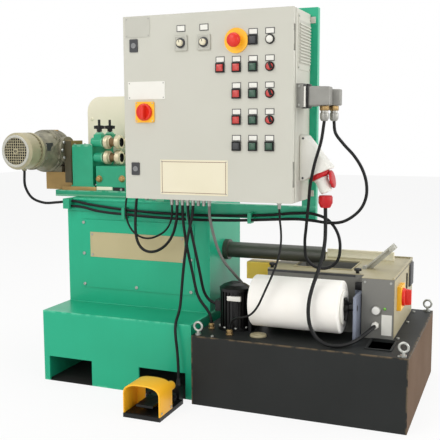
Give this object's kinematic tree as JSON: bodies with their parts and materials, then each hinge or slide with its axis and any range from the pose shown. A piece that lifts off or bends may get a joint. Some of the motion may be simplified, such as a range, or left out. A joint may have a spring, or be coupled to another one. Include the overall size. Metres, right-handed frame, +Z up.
{
  "type": "pipe grinding machine",
  "caption": "Pipe grinding machine: column with roller feed and gear motor, hinged control cabinet on a frame, coolant tank with pump, paper filter and foot pedal.",
  "frame": {"origin": "middle of the machine's footprint, on the floor", "axes": "+X along the operator's side to the right, +Y away from the operator, +Z up"},
  "size_m": [1.531, 0.878, 1.311],
  "materials": {
    "green_paint": "gloss machine enamel",
    "cabinet_paint": "textured powder coat",
    "cream_paint": "satin enamel",
    "dark_paint": "semi-gloss enamel",
    "black_paint": "gloss enamel",
    "grey_paint": "semi-gloss enamel",
    "cast_aluminium": "die cast",
    "roller_steel": "ground",
    "zinc_sheet": "zinc plated",
    "yellow_zinc": "yellow passivated, scuffed",
    "brass_fitting": "dull",
    "grey_metal": "die cast, painted",
    "black_plastic": "moulded",
    "grey_plastic": "moulded",
    "white_plastic": "engraved laminate, blank",
    "yellow_plastic": "moulded",
    "red_plastic": "moulded",
    "black_rubber": "cable sheath",
    "paper": "filter fleece"
  },
  "bodies": {
    "machine": {"plinth": "green_paint", "column": "green_paint", "column_cover": "green_paint", "bed": "green_paint", "cabinet_frame": "green_paint", "feed_plate": "green_paint", "motor_bracket": "yellow_zinc", "feed_motor": "cast_aluminium", "gearbox": "cast_aluminium", "gear_case": "green_paint", "roller_stand": "green_paint", "adjusting_screws": "black_plastic", "grinding_guard": "cream_paint", "cabinet_body": "cabinet_paint", "mounting_plate": "zinc_sheet", "louvre_panel": "cabinet_paint", "connector_base": "grey_metal", "connector_hoods": "grey_metal", "power_socket": "grey_plastic", "power_plug": "red_plastic", "cable_glands": "grey_plastic", "cable_clips": "black_plastic", "pedal_base": "black_plastic", "pedal_hood": "yellow_plastic", "tank_tub": "dark_paint", "tank_deck": "dark_paint", "eye_bolts": "zinc_sheet", "deck_fittings": "brass_fitting", "coolant_pump": "black_paint", "filter_body": "grey_paint", "filter_trim": "cream_paint", "roll_brackets": "dark_paint", "filter_switch_plate": "yellow_plastic", "drain_pipe": "grey_plastic", "feed_motor_cable": "black_rubber", "connector_cable": "black_rubber", "filter_cable": "black_rubber", "level_cable": "black_rubber", "short_loop_cable": "black_rubber", "long_loop_cable": "black_rubber", "deck_cable": "black_rubber", "pump_cable": "black_rubber", "pedal_cable": "black_rubber", "return_cable": "black_rubber"},
    "door": {"cabinet_door": "cabinet_paint", "push_buttons": "red_plastic", "legend_plates": "white_plastic", "dials": "grey_plastic", "selectors": "black_plastic", "switch_plates": "yellow_plastic", "door_locks": "grey_plastic"},
    "main_switch": {"main_switch": "red_plastic"},
    "estop": {"estop_button": "red_plastic"},
    "lower_front_roller": {"lower_front_roller": "roller_steel"},
    "upper_front_roller": {"upper_front_roller": "roller_steel"},
    "lower_rear_roller": {"lower_rear_roller": "roller_steel"},
    "upper_rear_roller": {"upper_rear_roller": "roller_steel"},
    "paper_roll": {"paper_roll": "paper"},
    "pedal": {"pedal_plate": "black_plastic"},
    "filter_switch": {"filter_switch": "red_plastic"}
  },
  "joints": [
    {"name": "door_hinge", "type": "hinge", "parent": "machine", "child": "door", "pos_m": [0.3885, -0.23, 0.988], "axis": [0, 0, 1], "range_deg": [0, 110]},
    {"name": "main_switch_turn", "type": "hinge", "parent": "door", "child": "main_switch", "pos_m": [-0.1125, -0.243, 0.976], "axis": [0, 1, 0], "range_deg": [0, 90]},
    {"name": "estop_push", "type": "slide", "parent": "door", "child": "estop", "axis": [0, 1, 0], "range_m": [0, 0.004], "stiffness_N_per_m": 900},
    {"name": "lower_front_roller_spin", "type": "hinge", "parent": "machine", "child": "lower_front_roller", "pos_m": [-0.3955, 0.041, 0.812], "axis": [1, 0, 0], "continuous": true},
    {"name": "upper_front_roller_spin", "type": "hinge", "parent": "machine", "child": "upper_front_roller", "pos_m": [-0.3955, 0.041, 0.87], "axis": [1, 0, 0], "continuous": true},
    {"name": "lower_rear_roller_spin", "type": "hinge", "parent": "machine", "child": "lower_rear_roller", "pos_m": [-0.3955, 0.121, 0.812], "axis": [1, 0, 0], "continuous": true},
    {"name": "upper_rear_roller_spin", "type": "hinge", "parent": "machine", "child": "upper_rear_roller", "pos_m": [-0.3955, 0.121, 0.87], "axis": [1, 0, 0], "continuous": true},
    {"name": "paper_roll_spin", "type": "hinge", "parent": "machine", "child": "paper_roll", "pos_m": [0.3855, -0.123, 0.346], "axis": [1, 0, 0], "continuous": true},
    {"name": "pedal_press", "type": "hinge", "parent": "machine", "child": "pedal", "pos_m": [-0.0385, -0.297, 0.034], "axis": [1, 0, 0], "range_deg": [0, 6], "stiffness_Nm_per_rad": 12, "springref_deg": -8.59},
    {"name": "filter_switch_turn", "type": "hinge", "parent": "machine", "child": "filter_switch", "pos_m": [0.7035, 0.029, 0.362], "axis": [-1, 0, 0], "range_deg": [0, 90]}
  ],
  "couplings": [
    {"joint": "upper_front_roller_spin", "follows": "lower_front_roller_spin", "ratio": -1},
    {"joint": "lower_rear_roller_spin", "follows": "lower_front_roller_spin", "ratio": 1},
    {"joint": "upper_rear_roller_spin", "follows": "lower_front_roller_spin", "ratio": -1}
  ]
}
